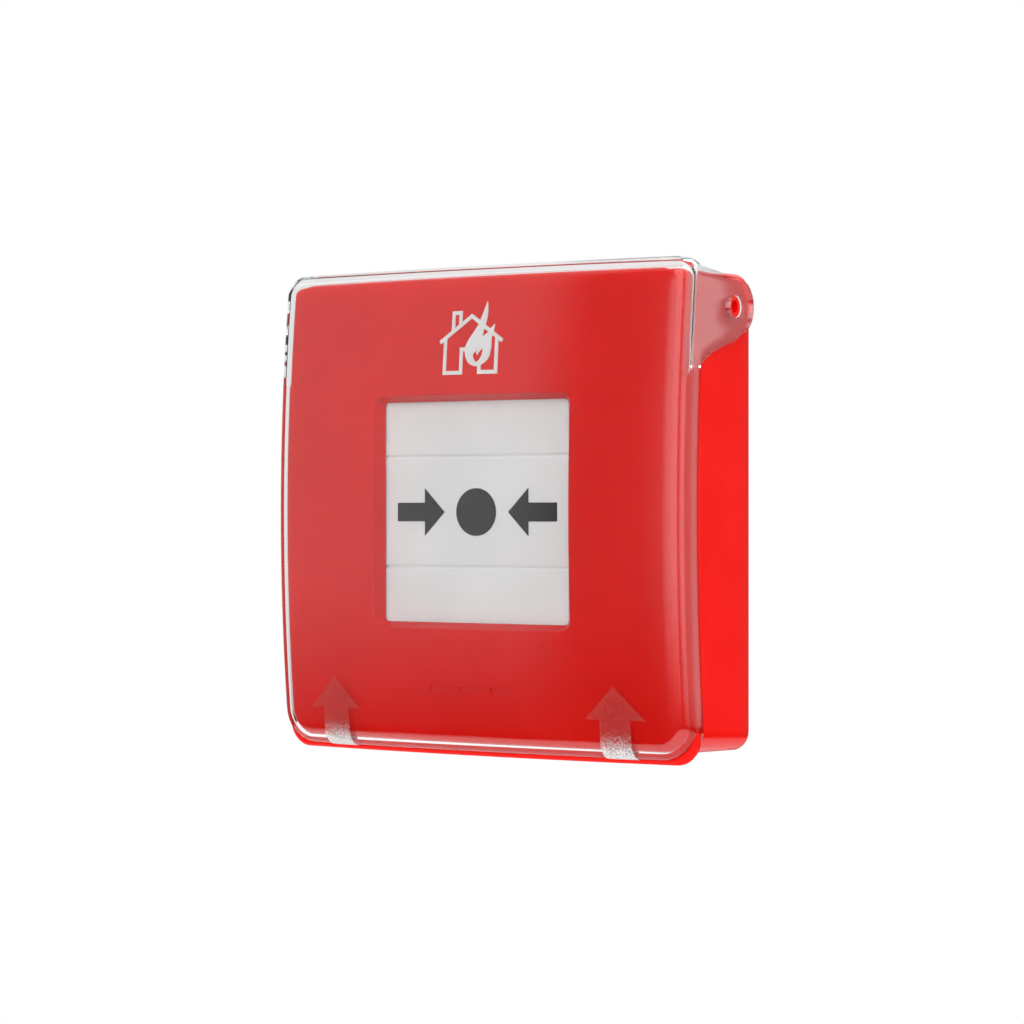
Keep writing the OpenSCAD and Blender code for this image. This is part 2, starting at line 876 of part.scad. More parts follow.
module mounting_plate() {
    head_r = 4.2;
    head_sink = 1.4;
    slot_w = 1;
    tab = 14;
    color("white") difference() {
        union() {
            slab(0, plate_t) rounded_span(plate_side, plate_bottom, plate_top, 3);
            for (sx = [-1, 1], z = [hook_high, hook_low]) {
                block(sx * hook_x, z - hook_t / 2, hook_w, hook_t, plate_t - eps,
                    cover_plate_front + gap + hook_lip_t);
                block(sx * hook_x, z + (hook_lip - hook_t) / 2, hook_w, hook_t + hook_lip,
                    cover_plate_front + gap, cover_plate_front + gap + hook_lip_t);
            }
        }
        for (sx = [-1, 1], sz = [-1, 1]) {
            rod(sx * wall_screw_gap / 2, sz * wall_screw_gap / 2, -1, plate_t + 1, wall_screw_r);
            rod(sx * wall_screw_gap / 2, sz * wall_screw_gap / 2, plate_t - head_sink, plate_t + 1, head_r);
        }
        for (sx = [-1, 1])
            block(tamper_x + sx * tab / 2, button_z, slot_w, tab, -1, plate_t + 1);
        block(tamper_x, button_z + tab / 2, tab - 3, slot_w, -1, plate_t + 1);
    }
}

mounting_plate();
front_shell();
house_symbol();
back_cover();
shell_gasket();
case_screws();
circuit_board();
board_screws();
battery_holder();
battery_left();
battery_right();
battery_contacts();
antenna();
radio_shield();
control_chip();
press_switch();
tamper_switch();
power_switch();
status_led();
reset_guide();
return_springs();
carrier_frame();
alarm_strip();
push_panel();
panel_symbols();
switch_plunger();
reset_slider();
reset_spring();
tamper_plunger();
power_button();
cover();
cover_arrows();
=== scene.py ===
"""Looks of the manual call point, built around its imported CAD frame.

Shapes are in millimetres, as (x, depth in front of the wall, z).
"""

import json
import math

import bmesh
import bpy
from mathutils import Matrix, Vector


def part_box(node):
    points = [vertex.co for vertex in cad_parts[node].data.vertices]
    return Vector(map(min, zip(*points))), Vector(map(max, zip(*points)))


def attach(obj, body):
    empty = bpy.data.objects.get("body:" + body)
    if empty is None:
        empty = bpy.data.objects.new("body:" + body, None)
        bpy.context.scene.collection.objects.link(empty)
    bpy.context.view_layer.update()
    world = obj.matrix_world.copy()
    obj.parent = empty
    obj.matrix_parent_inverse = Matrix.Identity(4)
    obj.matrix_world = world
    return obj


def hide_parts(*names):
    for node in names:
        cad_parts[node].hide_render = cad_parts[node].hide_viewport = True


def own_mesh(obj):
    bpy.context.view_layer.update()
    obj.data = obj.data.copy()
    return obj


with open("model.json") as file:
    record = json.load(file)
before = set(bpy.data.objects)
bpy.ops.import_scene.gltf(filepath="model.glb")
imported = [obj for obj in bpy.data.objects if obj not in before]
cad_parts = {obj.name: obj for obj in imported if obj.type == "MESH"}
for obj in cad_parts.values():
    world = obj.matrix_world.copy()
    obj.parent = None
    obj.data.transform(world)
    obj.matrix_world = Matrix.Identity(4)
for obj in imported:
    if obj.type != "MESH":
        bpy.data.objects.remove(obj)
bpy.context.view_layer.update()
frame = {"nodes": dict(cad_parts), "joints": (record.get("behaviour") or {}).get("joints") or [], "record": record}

MM = 0.001
NODES = frame["nodes"]


def box_mm(node):
    """Low and high corner (x, depth, z) of a CAD node's box, with depth measured out from the wall."""
    low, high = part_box(node)
    return (low[0] / MM, -high[1] / MM, low[2] / MM), (high[0] / MM, -low[1] / MM, high[2] / MM)


SHELL_LOW, SHELL_HIGH = box_mm("front_shell")
COVER_LOW, COVER_HIGH = box_mm("cover")
PANEL_LOW, PANEL_HIGH = box_mm("push_panel")
HINGE = next(j for j in frame["joints"] if j["name"] == "cover_hinge")["pos_m"]
HINGE_DEPTH = -HINGE[1] / MM
HINGE_Z = HINGE[2] / MM

# ---------- sizes of the case ----------
RIM_SIDE = SHELL_HIGH[0]
CASE_TOP = SHELL_HIGH[2]
RIM_BOTTOM = SHELL_LOW[2]
CASE_SIDE = RIM_SIDE - 1.9
LOW_BACK = -CASE_TOP
LOW_FRONT = -CASE_TOP + 0.9
LEAN_FRONT = 27.0
FACE_SIDE = RIM_SIDE - 2.8
FACE_TOP = CASE_TOP - 0.5
FACE_FRONT = 32.5
DOME_RISE = 6.1
DOME_R = (FACE_SIDE**2 + FACE_TOP**2) / (2 * DOME_RISE) + DOME_RISE / 2
DOME_CENTRE = FACE_FRONT - DOME_R
SHOULDER_STEP = 0.4
FACE_T = 2.4
INNER_SIDE = CASE_SIDE - 2.1
INNER_TOP = CASE_TOP - 2.1
WINDOW_SIDE = 24.2
WINDOW_TOP = 24.3
WINDOW_DEPTH = 28.8
FLARE_X = 0.6
FLARE_Z = 0.48
BAR_SINK = 0.5
BAR_Z = -38.8
BAR_STEP = 8
LIP_BACK = 24.0
LIP_W = 3.2
BACK_R = 4.3
RIM_R = 5.2
EDGE_R = 0.8
SCREW_X = 43
SCREW_Z = 42.9
BOARD_X = 40
BOARD_ROWS = (22, -33.9)
CARRIER_X = 32.9
RECESS_X = 51.5
STUB_R = 2.28
BEYOND = 60

# ---------- sizes of the cover ----------
COVER_SIDE = COVER_HIGH[0]
COVER_TOP = COVER_HIGH[2]
COVER_BOTTOM = COVER_LOW[2]
COVER_FRONT = COVER_HIGH[1]
COVER_T = 1.6
COVER_FILLET = 4.0
FILLET_TURN = math.radians(83.4)
LID_REAR = 29.15
LID_REAR_CURVE = 866
ARROW_TIP = COVER_BOTTOM + 15.7
ARROW_X = 36.8
ARROW_HEAD = 7.1
HEAD_HALF = 7.15
SHAFT_HALF = 3.7
PRINT_FADE = 6.5


def dome(x, z, front):
    """Depth of the domed surface that is front deep in its middle, at (x, z)."""
    r = front - DOME_CENTRE
    return math.sqrt(r * r - x * x - z * z) + DOME_CENTRE


def face_back(x, z):
    """Depth that lies just inside the front face's sheet at (x, z), where posts end."""
    return dome(x, z, FACE_FRONT - FACE_T) + 0.5


# ---------- mesh helpers ----------
def new_mesh(name, verts_mm, faces):
    """An object from points (x, depth, z) in millimetres."""
    mesh = bpy.data.meshes.new(name)
    mesh.from_pydata([(x * MM, -d * MM, z * MM) for x, d, z in verts_mm], [], faces)
    obj = bpy.data.objects.new(name, mesh)
    bpy.context.scene.collection.objects.link(obj)
    fix = bmesh.new()
    fix.from_mesh(mesh)
    bmesh.ops.remove_doubles(fix, verts=fix.verts, dist=1e-7)
    bmesh.ops.recalc_face_normals(fix, faces=fix.faces)
    fix.to_mesh(mesh)
    fix.free()
    return obj


def smooth(obj, angle=30):
    """Smooth shading with sharp edges past an angle."""
    mesh = obj.data
    for face in mesh.polygons:
        face.use_smooth = True
    mesh.set_sharp_from_angle(angle=math.radians(angle))


def outline(side, bottom, top, r_low, r_top, arc=8, run=14):
    """Points (x, z) around a rounded rectangle, always the same number in the same order."""
    corners = [
        (side, top, r_top, 0),
        (-side, top, r_top, 90),
        (-side, bottom, r_low, 180),
        (side, bottom, r_low, 270),
    ]
    arcs = []
    for x, z, r, start in corners:
        cx = x - math.copysign(r, x)
        cz = z + (-r if z == top else r)
        turn = [math.radians(start + 90 * k / arc) for k in range(arc + 1)]
        arcs.append([(cx + r * math.cos(a), cz + r * math.sin(a)) for a in turn])
    points = []
    for k, corner in enumerate(arcs):
        points += corner
        x0, z0 = corner[-1]
        x1, z1 = arcs[(k + 1) % 4][0]
        points += [(x0 + (x1 - x0) * t / run, z0 + (z1 - z0) * t / run) for t in range(1, run)]
    return points


def loft(name, rings, cap_first=True, cap_last=True, closed=False):
    """A skin over rings of (x, depth, z) points that all hold the same number of points."""
    n = len(rings[0])
    verts = [p for ring in rings for p in ring]
    faces = []
    spans = len(rings) if closed else len(rings) - 1
    for i in range(spans):
        a = i * n
        b = ((i + 1) % len(rings)) * n
        faces += [(a + k, a + (k + 1) % n, b + (k + 1) % n, b + k) for k in range(n)]
    if cap_first and not closed:
        faces.append(tuple(range(n)))
    if cap_last and not closed:
        faces.append(tuple((len(rings) - 1) * n + k for k in range(n)))
    return new_mesh(name, verts, faces)


def flat_ring(points, depth):
    return [(x, depth, z) for x, z in points]


def dome_ring(points, front):
    return [(x, dome(x, z, front), z) for x, z in points]


def between(a, b, t):
    """Ring points a fraction t of the way from ring a to ring b, in the front view."""
    return [(p[0] + (q[0] - p[0]) * t, p[1] + (q[1] - p[1]) * t) for p, q in zip(a, b)]


def prism(name, profile, x_low, x_high):
    """A side-view profile (depth, z) made solid between two X values."""
    n = len(profile)
    verts = [(x, d, z) for x in (x_low, x_high) for d, z in profile]
    faces = [(k, (k + 1) % n, n + (k + 1) % n, n + k) for k in range(n)]
    return new_mesh(name, verts, faces + [tuple(range(n)), tuple(range(n, 2 * n))])


def front_prism(name, points, back, front):
    """A front-view outline (x, z) made solid between two depths."""
    return loft(name, [flat_ring(points, back), flat_ring(points, front)])


def circle_points(x, z, r, count=48):
    turn = [2 * math.pi * k / count for k in range(count)]
    return [(x + r * math.cos(a), z + r * math.sin(a)) for a in turn]


def rod(name, x, z, back, front, r, count=32):
    return front_prism(name, circle_points(x, z, r, count), back, front)


def joined(name, objects):
    """Several objects made into one."""
    mesh = bmesh.new()
    for obj in objects:
        mesh.from_mesh(obj.data)
        bpy.data.objects.remove(obj)
    out = bpy.data.meshes.new(name)
    mesh.to_mesh(out)
    mesh.free()
    result = bpy.data.objects.new(name, out)
    bpy.context.scene.collection.objects.link(result)
    return result


def apply_modifiers(obj):
    """Bakes the modifiers into the mesh."""
    graph = bpy.context.evaluated_depsgraph_get()
    mesh = bpy.data.meshes.new_from_object(obj.evaluated_get(graph))
    obj.modifiers.clear()
    obj.data = mesh


def boolean(obj, operation, *tools):
    """Unites, cuts or intersects obj with each tool in turn, and deletes the tools."""
    for tool in tools:
        cut = obj.modifiers.new("boolean", "BOOLEAN")
        cut.operation = operation
        cut.solver = "EXACT"
        cut.object = tool
        apply_modifiers(obj)
        bpy.data.objects.remove(tool)


def add_bevel(obj, width_mm, segments=3, angle=35):
    bevel = obj.modifiers.new("bevel", "BEVEL")
    bevel.width = width_mm * MM
    bevel.segments = segments
    bevel.limit_method = "ANGLE"
    bevel.angle_limit = math.radians(angle)
    bevel.use_clamp_overlap = True
    bevel.harden_normals = False
    return bevel


# ---------- materials ----------
def material(name, base, rough=0.4, metal=0.0, **sockets):
    """A new Principled material. Returns (material, node tree, shader node)."""
    mat = bpy.data.materials.new(name)
    mat.use_nodes = True
    tree = mat.node_tree
    shader = tree.nodes["Principled BSDF"]
    shader.inputs["Base Color"].default_value = (*base, 1)
    shader.inputs["Roughness"].default_value = rough
    shader.inputs["Metallic"].default_value = metal
    for socket, value in sockets.items():
        shader.inputs[socket.replace("_", " ")].default_value = value
    return mat, tree, shader


def noise(tree, scale, detail=3.0, stretch=(1, 1, 1)):
    """A noise texture in object space, with scale in features a metre."""
    place = tree.nodes.new("ShaderNodeTexCoord")
    mapping = tree.nodes.new("ShaderNodeMapping")
    mapping.inputs["Scale"].default_value = stretch
    texture = tree.nodes.new("ShaderNodeTexNoise")
    texture.inputs["Scale"].default_value = scale
    texture.inputs["Detail"].default_value = detail
    tree.links.new(place.outputs["Object"], mapping.inputs["Vector"])
    tree.links.new(mapping.outputs["Vector"], texture.inputs["Vector"])
    return texture.outputs["Fac"]


def remap(tree, value, low, high, from_low=0.3, from_high=0.7):
    """The value spread from its own range to low..high."""
    node = tree.nodes.new("ShaderNodeMapRange")
    node.inputs["From Min"].default_value = from_low
    node.inputs["From Max"].default_value = from_high
    node.inputs["To Min"].default_value = low
    node.inputs["To Max"].default_value = high
    tree.links.new(value, node.inputs["Value"])
    return node.outputs["Result"]


def add_bump(tree, shader, height, distance_mm, strength=1.0):
    bump = tree.nodes.new("ShaderNodeBump")
    bump.inputs["Strength"].default_value = strength
    bump.inputs["Distance"].default_value = distance_mm * MM
    tree.links.new(height, bump.inputs["Height"])
    tree.links.new(bump.outputs["Normal"], shader.inputs["Normal"])
    return bump


def tint(tree, shader, factor, low, high):
    """Base colour that goes from low to high with a factor."""
    mix = tree.nodes.new("ShaderNodeMix")
    mix.data_type = "RGBA"
    mix.inputs["A"].default_value = (*low, 1)
    mix.inputs["B"].default_value = (*high, 1)
    tree.links.new(factor, mix.inputs["Factor"])
    tree.links.new(mix.outputs["Result"], shader.inputs["Base Color"])
    return mix


def moulded(name, base, rough, grain_mm=0.35, grain_depth=0.006, spread=0.04, **sockets):
    """Moulded plastic: a fine spark-eroded grain, with slow changes of gloss and shade."""
    mat, tree, shader = material(name, base, rough, **sockets)
    grain = noise(tree, 1 / (grain_mm * MM), 2.0)
    clouds = noise(tree, 60, 3.0)
    add_bump(tree, shader, grain, grain_depth)
    tree.links.new(remap(tree, clouds, rough - spread, rough + spread), shader.inputs["Roughness"])
    low = tuple(c * 0.97 for c in base)
    high = tuple(min(c * 1.03, 1) for c in base)
    tint(tree, shader, remap(tree, clouds, 0, 1), low, high)
    return mat


def clear_plastic():
    """Clear polished plastic with a faint orange peel and hairline wear."""
    mat, tree, shader = material(
        "clear_plastic", (0.985, 0.99, 0.99), 0.03, IOR=1.5, Transmission_Weight=1.0
    )
    peel = noise(tree, 180, 2.0)
    add_bump(tree, shader, peel, 0.004, 0.4)
    wear = noise(tree, 900, 4.0, (1, 1, 0.06))
    tree.links.new(remap(tree, wear, 0.02, 0.06), shader.inputs["Roughness"])
    return mat


def frosted_print():
    """Frosted arrows: a dull grain that turns white and thick toward the lower edge of the cover. Above that the
    colour is a painted dark red, which stands in for the red case's light showing through the frost.
    """
    mat, tree, shader = material("frosted_print", (0.8, 0.8, 0.8), 0.8, Specular_IOR_Level=0.05)
    place = tree.nodes.new("ShaderNodeTexCoord")
    split = tree.nodes.new("ShaderNodeSeparateXYZ")
    tree.links.new(place.outputs["Object"], split.inputs["Vector"])
    low, high = COVER_BOTTOM * MM, (COVER_BOTTOM + PRINT_FADE) * MM
    fade = remap(tree, split.outputs["Z"], 1.15, 0.0, low, high)
    haze = calc(tree, "MULTIPLY", fade, fade)
    specks = remap(tree, noise(tree, 3200, 2.0), -0.3, 0.5, 0.35, 0.65)
    grain = calc(tree, "MULTIPLY", specks, calc(tree, "ADD", fade, 0.25))
    white = calc(tree, "MAXIMUM", calc(tree, "ADD", haze, grain), 0.0)
    # Painted light: the dark red end of this tint stands in for the red case showing through the frost; the white
    # end is the frost itself.
    tint(tree, shader, white, (0.3, 0.06, 0.05), (0.8, 0.8, 0.8))
    cover_share = calc(tree, "ADD", calc(tree, "MULTIPLY", white, 0.55), 0.11)
    tree.links.new(cover_share, shader.inputs["Alpha"])
    return mat


def brushed_steel():
    mat, tree, shader = material("steel", (0.62, 0.62, 0.63), 0.3, 1.0)
    lines = noise(tree, 1500, 3.0, (1, 1, 0.05))
    tree.links.new(remap(tree, lines, 0.22, 0.42), shader.inputs["Roughness"])
    add_bump(tree, shader, lines, 0.004)
    tint(tree, shader, remap(tree, noise(tree, 300), 0, 1), (0.55, 0.55, 0.56), (0.68, 0.68, 0.69))
    return mat


def solder_mask():
    """Green circuit board with raised tracks under the mask."""
    mat, tree, shader = material("circuit_board", (0.01, 0.14, 0.05), 0.25)
    place = tree.nodes.new("ShaderNodeTexCoord")
    cells = tree.nodes.new("ShaderNodeTexVoronoi")
    cells.distance = "MANHATTAN"
    cells.feature = "DISTANCE_TO_EDGE"
    cells.inputs["Scale"].default_value = 260
    tree.links.new(place.outputs["Object"], cells.inputs["Vector"])
    tracks = remap(tree, cells.outputs["Distance"], 1, 0, 0.03, 0.05)
    tint(tree, shader, tracks, (0.008, 0.11, 0.04), (0.03, 0.24, 0.09))
    add_bump(tree, shader, tracks, 0.03)
    return mat


def battery_sleeve():
    """Printed sleeve: a plain dark body with fine shrink wrinkles."""
    mat, tree, shader = material("battery_sleeve", (0.05, 0.12, 0.35), 0.3)
    wrinkles = noise(tree, 500, 3.0, (0.2, 1, 1))
    add_bump(tree, shader, wrinkles, 0.02, 0.5)
    # Painted shade: the colour follows the wrinkles' height, darker in their hollows and lighter on their crests.
    tint(tree, shader, remap(tree, wrinkles, 0, 1), (0.04, 0.10, 0.30), (0.06, 0.14, 0.40))
    tree.links.new(remap(tree, wrinkles, 0.25, 0.4), shader.inputs["Roughness"])
    return mat


# ---------- pieces ----------
def case_outline(side, bottom, top, r, r_top=None):
    return outline(side, bottom, top, r, r_top or r)


def along_case(start, end, depth):
    """A size that goes from start at the wall to end where the walls stop leaning."""
    return start + (end - start) * min(depth / LEAN_FRONT, 1)


def case_side(depth):
    return along_case(CASE_SIDE, RIM_SIDE, depth)


def case_top(depth):
    return along_case(CASE_TOP, FACE_TOP, depth)


def inner_outline(inset, r):
    """Inside of the case's wall in the front view."""
    return case_outline(INNER_SIDE - inset, -INNER_TOP + inset, INNER_TOP - inset, r)


def inner_rings():
    """Rings from the window's rear edge, over the inside of the face and down the inner wall."""
    window = case_outline(WINDOW_SIDE, -WINDOW_TOP, WINDOW_TOP, 1.0)
    lip = case_outline(WINDOW_SIDE + LIP_W, -WINDOW_TOP - LIP_W, WINDOW_TOP + LIP_W, 2)
    inner_edge = inner_outline(1.0, 1.5)
    front = FACE_FRONT - FACE_T
    rings = [flat_ring(window, WINDOW_DEPTH), flat_ring(lip, WINDOW_DEPTH), dome_ring(lip, front)]
    rings += [dome_ring(between(lip, inner_edge, t), front) for t in (0.25, 0.5, 0.75, 1.0)]
    rings.append([(x, dome(x, z, front) - 1.0, z) for x, z in inner_outline(0, 2.5)])
    for depth, inset in ((8, 0), (8, 2.2), (6, 2.2), (6, 0), (0.3, 0), (0, 0.3)):
        rings.append(flat_ring(inner_outline(inset, 2.5 - inset / 3), depth))
    return rings


def wall_outline(depth, inset):
    """Outside of the case's wall in the front view, at a depth."""
    side = case_side(depth) - inset
    low = along_case(LOW_BACK, LOW_FRONT, depth) + inset
    top = case_top(depth) - inset
    return case_outline(side, low, top, BACK_R + depth / LEAN_FRONT)


def wall_rings():
    """Rings up the outer wall, from the back edge to the lip."""
    rings = [flat_ring(wall_outline(0, 0.4), 0), flat_ring(wall_outline(0, 0.12), 0.12)]
    rings += [flat_ring(wall_outline(depth, 0), depth) for depth in (0.4, 6, 12, 18, LIP_BACK - 0.1)]
    return rings


def rim_outline(depth, inset):
    """Outline of the rim, which hangs below the wall as a lip."""
    side = case_side(depth) - inset
    top = case_top(depth) - inset
    return case_outline(side, RIM_BOTTOM + inset, top, RIM_R, BACK_R + 1)


def rim_rings(shoulder):
    """Rings over the back of the lip and round the rim's front edge."""
    soft = 0.6
    side, top = case_side(LIP_BACK), case_top(LIP_BACK)
    lip = outline(side, RIM_BOTTOM + soft, top, RIM_R - soft, BACK_R + 1)
    rings = [flat_ring(lip, LIP_BACK), flat_ring(rim_outline(LIP_BACK, 0), LIP_BACK + 0.5)]
    for turn in range(0, 91, 15):
        a = math.radians(turn)
        points = rim_outline(LEAN_FRONT, EDGE_R * (1 - math.cos(a)))
        drop = EDGE_R * (1 - math.sin(a))
        rings.append([(x, dome(x, z, shoulder) - drop, z) for x, z in points])
    return rings


def face_outline(inset):
    """Outline of the domed front face, inside the rim."""
    r = max(RIM_R - inset, 0.5)
    return case_outline(FACE_SIDE - inset, -FACE_TOP - 0.4 + inset, FACE_TOP - inset, r)


def face_rings(shoulder):
    """Rings up the front face's soft edge and over the dome to the window's bevel."""
    rings = [dome_ring(face_outline(-0.15), shoulder)]
    for turn in range(0, 91, 18):
        a = math.radians(turn)
        points = face_outline(0.6 * (1 - math.cos(a)) - 0.1)
        drop = 0.3 * (1 - math.sin(a))
        rings.append([(x, dome(x, z, FACE_FRONT) - drop, z) for x, z in points])
    edge = face_outline(0.5)
    bevel = window_bevel(1.0, 0)
    rings += [dome_ring(between(edge, bevel, k / 14), FACE_FRONT) for k in range(1, 15)]
    return rings


def front_shell_skin():
    """Closed skin of the case: inner wall, outer wall, rim, front face and the window's bevel."""
    shoulder = FACE_FRONT - SHOULDER_STEP
    rings = inner_rings() + wall_rings() + rim_rings(shoulder) + face_rings(shoulder)
    return loft("front_shell_skin", rings + window_bevel_rings(), closed=True)


def window_bevel(t, grow):
    """Front-view outline of the window's bevel, t of the way from its inner edge to the front."""
    side = WINDOW_SIDE + FLARE_X * (dome(WINDOW_SIDE, 0, FACE_FRONT) - WINDOW_DEPTH) * t + grow
    top = WINDOW_TOP + FLARE_Z * (dome(0, WINDOW_TOP, FACE_FRONT) - WINDOW_DEPTH) * t + grow
    return case_outline(side, -top, top, 1.0 + 1.2 * t)


def window_bevel_rings():
    """Rings down the bevel, with a soft roll from the front face into it."""
    rings = []
    soft = 0.45
    outer = window_bevel(1.0, 0)
    for grow, drop in ((-0.12 * soft, 0.04), (-0.35 * soft, 0.16), (-0.6 * soft, 0.4)):
        points = window_bevel(1.0, grow)
        rings.append([(x, dome(x, z, FACE_FRONT) - drop * soft, z) for x, z in points])
    for t in (0.8, 0.5, 0.2, 0.06):
        points = window_bevel(t, -0.1)
        rim_depth = [dome(x, z, FACE_FRONT) for x, z in outer]
        rings.append(
            [(x, WINDOW_DEPTH + (rim - WINDOW_DEPTH) * t, z) for (x, z), rim in zip(points, rim_depth)]
        )
    return rings


def wing_profile(margin):
    """Side view (depth, z) of a hinge wing, open toward the lid, grown by a margin."""
    end_depth = HINGE_DEPTH - 2.1
    end_z = HINGE_Z + 0.2
    end_r = 5.8 + margin
    arc = [math.radians(a) for a in range(95, 266, 10)]
    points = [(45, HINGE_Z + 10.9 + margin)]
    points += [(end_depth + end_r * math.cos(a), end_z + end_r * math.sin(a)) for a in arc]
    sweep = [
        (9, -7.0), (12.2, -7.9), (15.6, -8.9), (18.8, -10.0),
        (22, -11.5), (25, -13.4), (27.5, -15.0), (30, -16.4),
    ]
    points += [(d, HINGE_Z + dz - margin) for d, dz in sweep]
    return points + [(45, HINGE_Z - 20 - margin)]


def shell_posts():
    """Posts inside the case for the case screws, the board screws and the carrier."""
    posts = []
    for sx in (-1, 1):
        for sz in (-1, 1):
            end = face_back(SCREW_X, SCREW_Z)
            posts.append(rod("post", sx * SCREW_X, sz * SCREW_Z, 5.5, end, 3.6))
        for z in BOARD_ROWS:
            posts.append(rod("post", sx * BOARD_X, z, 15.6, face_back(BOARD_X, z), 3))
        posts.append(rod("post", sx * CARRIER_X, 0, 15.9, face_back(CARRIER_X, 0), 2))
    return joined("posts", posts)


def wing_recesses():
    """Room in the case's sides for the cover's wings, at rest and as they swing."""
    cuts = [prism("recess", wing_profile(0.4), side * RECESS_X, side * BEYOND) for side in (-1, 1)]
    for side in (-1, 1):
        top_block = [(-5, HINGE_Z - 1), (45, HINGE_Z - 1), (45, BEYOND), (-5, BEYOND)]
        cuts.append(prism("recess_top", top_block, side * RECESS_X, side * BEYOND))
        swing = circle_points(HINGE_DEPTH, HINGE_Z, 8.2)
        cuts.append(prism("swing", swing, side * 52.45, side * BEYOND))
    return cuts


def hinge_stubs():
    """The two stubs that the cover turns on."""
    section = circle_points(HINGE_DEPTH, HINGE_Z, STUB_R)
    return [prism("stub", section, side * INNER_SIDE, side * (RIM_SIDE - 0.2)) for side in (-1, 1)]


def shell_holes():
    """Sinks in the stubs, screw holes in the posts, the three sunk bars and the reset key hole."""
    holes = []
    sink = circle_points(HINGE_DEPTH, HINGE_Z, 1.35)
    for side in (-1, 1):
        holes.append(prism("sink", sink, side * (RIM_SIDE - 1.4), side * BEYOND))
        for sz in (-1, 1):
            holes.append(rod("hole", side * SCREW_X, sz * SCREW_Z, 0, 19, 1.3))
        for z in BOARD_ROWS:
            holes.append(rod("hole", side * BOARD_X, z, 0, 22.6, 1.05))
    for i in (-1, 0, 1):
        bar = outline(3, BAR_Z - 0.8, BAR_Z + 0.8, 0.75, 0.75, 6, 2)
        points = [(x + i * BAR_STEP, z) for x, z in bar]
        bottom = dome(i * BAR_STEP, BAR_Z, FACE_FRONT) - BAR_SINK
        holes.append(front_prism("bar", points, bottom, 36))
    key_rings = [[(x, 20 + d, z) for x, d in circle_points(0, 0, 2)] for z in (-BEYOND, -49)]
    holes.append(loft("key", key_rings))
    return holes


def front_shell(red):
    """The case's red front part, which replaces its CAD node."""
    skin = front_shell_skin()
    boolean(skin, "UNION", shell_posts())
    boolean(skin, "DIFFERENCE", *wing_recesses())
    boolean(skin, "UNION", *hinge_stubs())
    boolean(skin, "DIFFERENCE", *shell_holes())
    skin.name = "case_shell"
    smooth(skin, 28)
    skin.data.materials.clear()
    skin.data.materials.append(red)
    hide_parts("front_shell")
    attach(skin, "case")
    return skin


def lid_points(inset):
    """Outline of the cover in the front view, drawn in by an inset."""
    side, low, top = COVER_SIDE - inset, COVER_BOTTOM + inset, COVER_TOP - inset
    return outline(side, low, top, 8 - inset, 5 - inset, 8, 16)


def lid_skin(name, inset, front, fillet, back):
    """Closed solid with the cover's outline, a fillet round its front edge and a domed front."""
    end = FILLET_TURN
    rings = [flat_ring(lid_points(inset), back)]
    flat = lid_points(inset + fillet * (1 - math.cos(end)))
    base = [dome(x, z, front) - fillet * math.sin(end) for x, z in flat]
    steps = 10
    for k in range(steps + 1):
        a = end * k / steps
        points = lid_points(inset + fillet * (1 - math.cos(a)))
        rings.append([(x, b + fillet * math.sin(a), z) for (x, z), b in zip(points, base)])
    middle_z = (COVER_TOP + COVER_BOTTOM) / 2
    for k in (0.96, 0.9, 0.82, 0.72, 0.6, 0.46, 0.32, 0.18, 0.06):
        points = [(x * k, (z - middle_z) * k + middle_z) for x, z in flat]
        rings.append(dome_ring(points, front))
    return loft(name, rings)


def behind_lid():
    """Solid behind the lid's rear edge, less the two hinge wings."""
    count = 30
    edge = 62.0
    rear = []
    for i in range(count + 1):
        for j in range(count + 1):
            x = -edge + 2 * edge * i / count
            z = -edge + 2 * edge * j / count
            low = min(max((-z - 46) / 4, 0), 1)
            rise = (x * x + z * z) / LID_REAR_CURVE
            rear.append((x, LID_REAR - rise - 1.6 * low * low, z))
    back = [(x, -8.0, z) for x, _, z in rear]
    n = (count + 1) ** 2
    faces = []

    def at(i, j):
        return i * (count + 1) + j

    for i in range(count):
        for j in range(count):
            quad = (at(i, j), at(i + 1, j), at(i + 1, j + 1), at(i, j + 1))
            faces.append(quad)
            faces.append(tuple(n + k for k in reversed(quad)))
    for k in range(count):
        for a, b in (
            (at(k, 0), at(k + 1, 0)),
            (at(k, count), at(k + 1, count)),
            (at(0, k), at(0, k + 1)),
            (at(count, k), at(count, k + 1)),
        ):
            faces.append((a, b, n + b, n + a))
    block = new_mesh("behind", rear + back, faces)
    wings = [prism("wing", wing_profile(0), side * 50, side * 58) for side in (-1, 1)]
    boolean(block, "DIFFERENCE", *wings)
    return block


def cover(clear):
    """The clear lid with its hinge wings, which replaces its CAD node."""
    lid = lid_skin("cover_lid", 0, COVER_FRONT, COVER_FILLET, -2)
    inner_t = 1.7
    room = lid_skin("cover_room", inner_t, COVER_FRONT - COVER_T, COVER_FILLET - COVER_T, -4)
    boolean(lid, "DIFFERENCE", room)
    boolean(lid, "DIFFERENCE", behind_lid())
    holes = [
        prism("hole", circle_points(HINGE_DEPTH, HINGE_Z, 2.36), side * 48, side * 58) for side in (-1, 1)
    ]
    boolean(lid, "DIFFERENCE", *holes)
    lid.name = "clear_cover"
    lid.data.materials.clear()
    lid.data.materials.append(clear)
    smooth(lid, 30)
    add_bevel(lid, 0.35, 3, 40)
    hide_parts("cover")
    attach(lid, "cover")
    return lid


def lid_surface(x, s):
    """Point on the cover's outer skin at x, s millimetres up from where the bottom fillet ends."""
    lift = 0.03
    end = FILLET_TURN
    flat_z = COVER_BOTTOM + COVER_FILLET * (1 - math.cos(end))
    if s >= 0:
        z = flat_z + s
        return (x, dome(x, z, COVER_FRONT) + lift, z)
    a = max(end + s / COVER_FILLET, 0)
    r = COVER_FILLET + lift
    base = dome(x, flat_z, COVER_FRONT) - COVER_FILLET * math.sin(end)
    z = COVER_BOTTOM + COVER_FILLET - r * math.cos(a)
    return (x, base + r * math.sin(a), z)


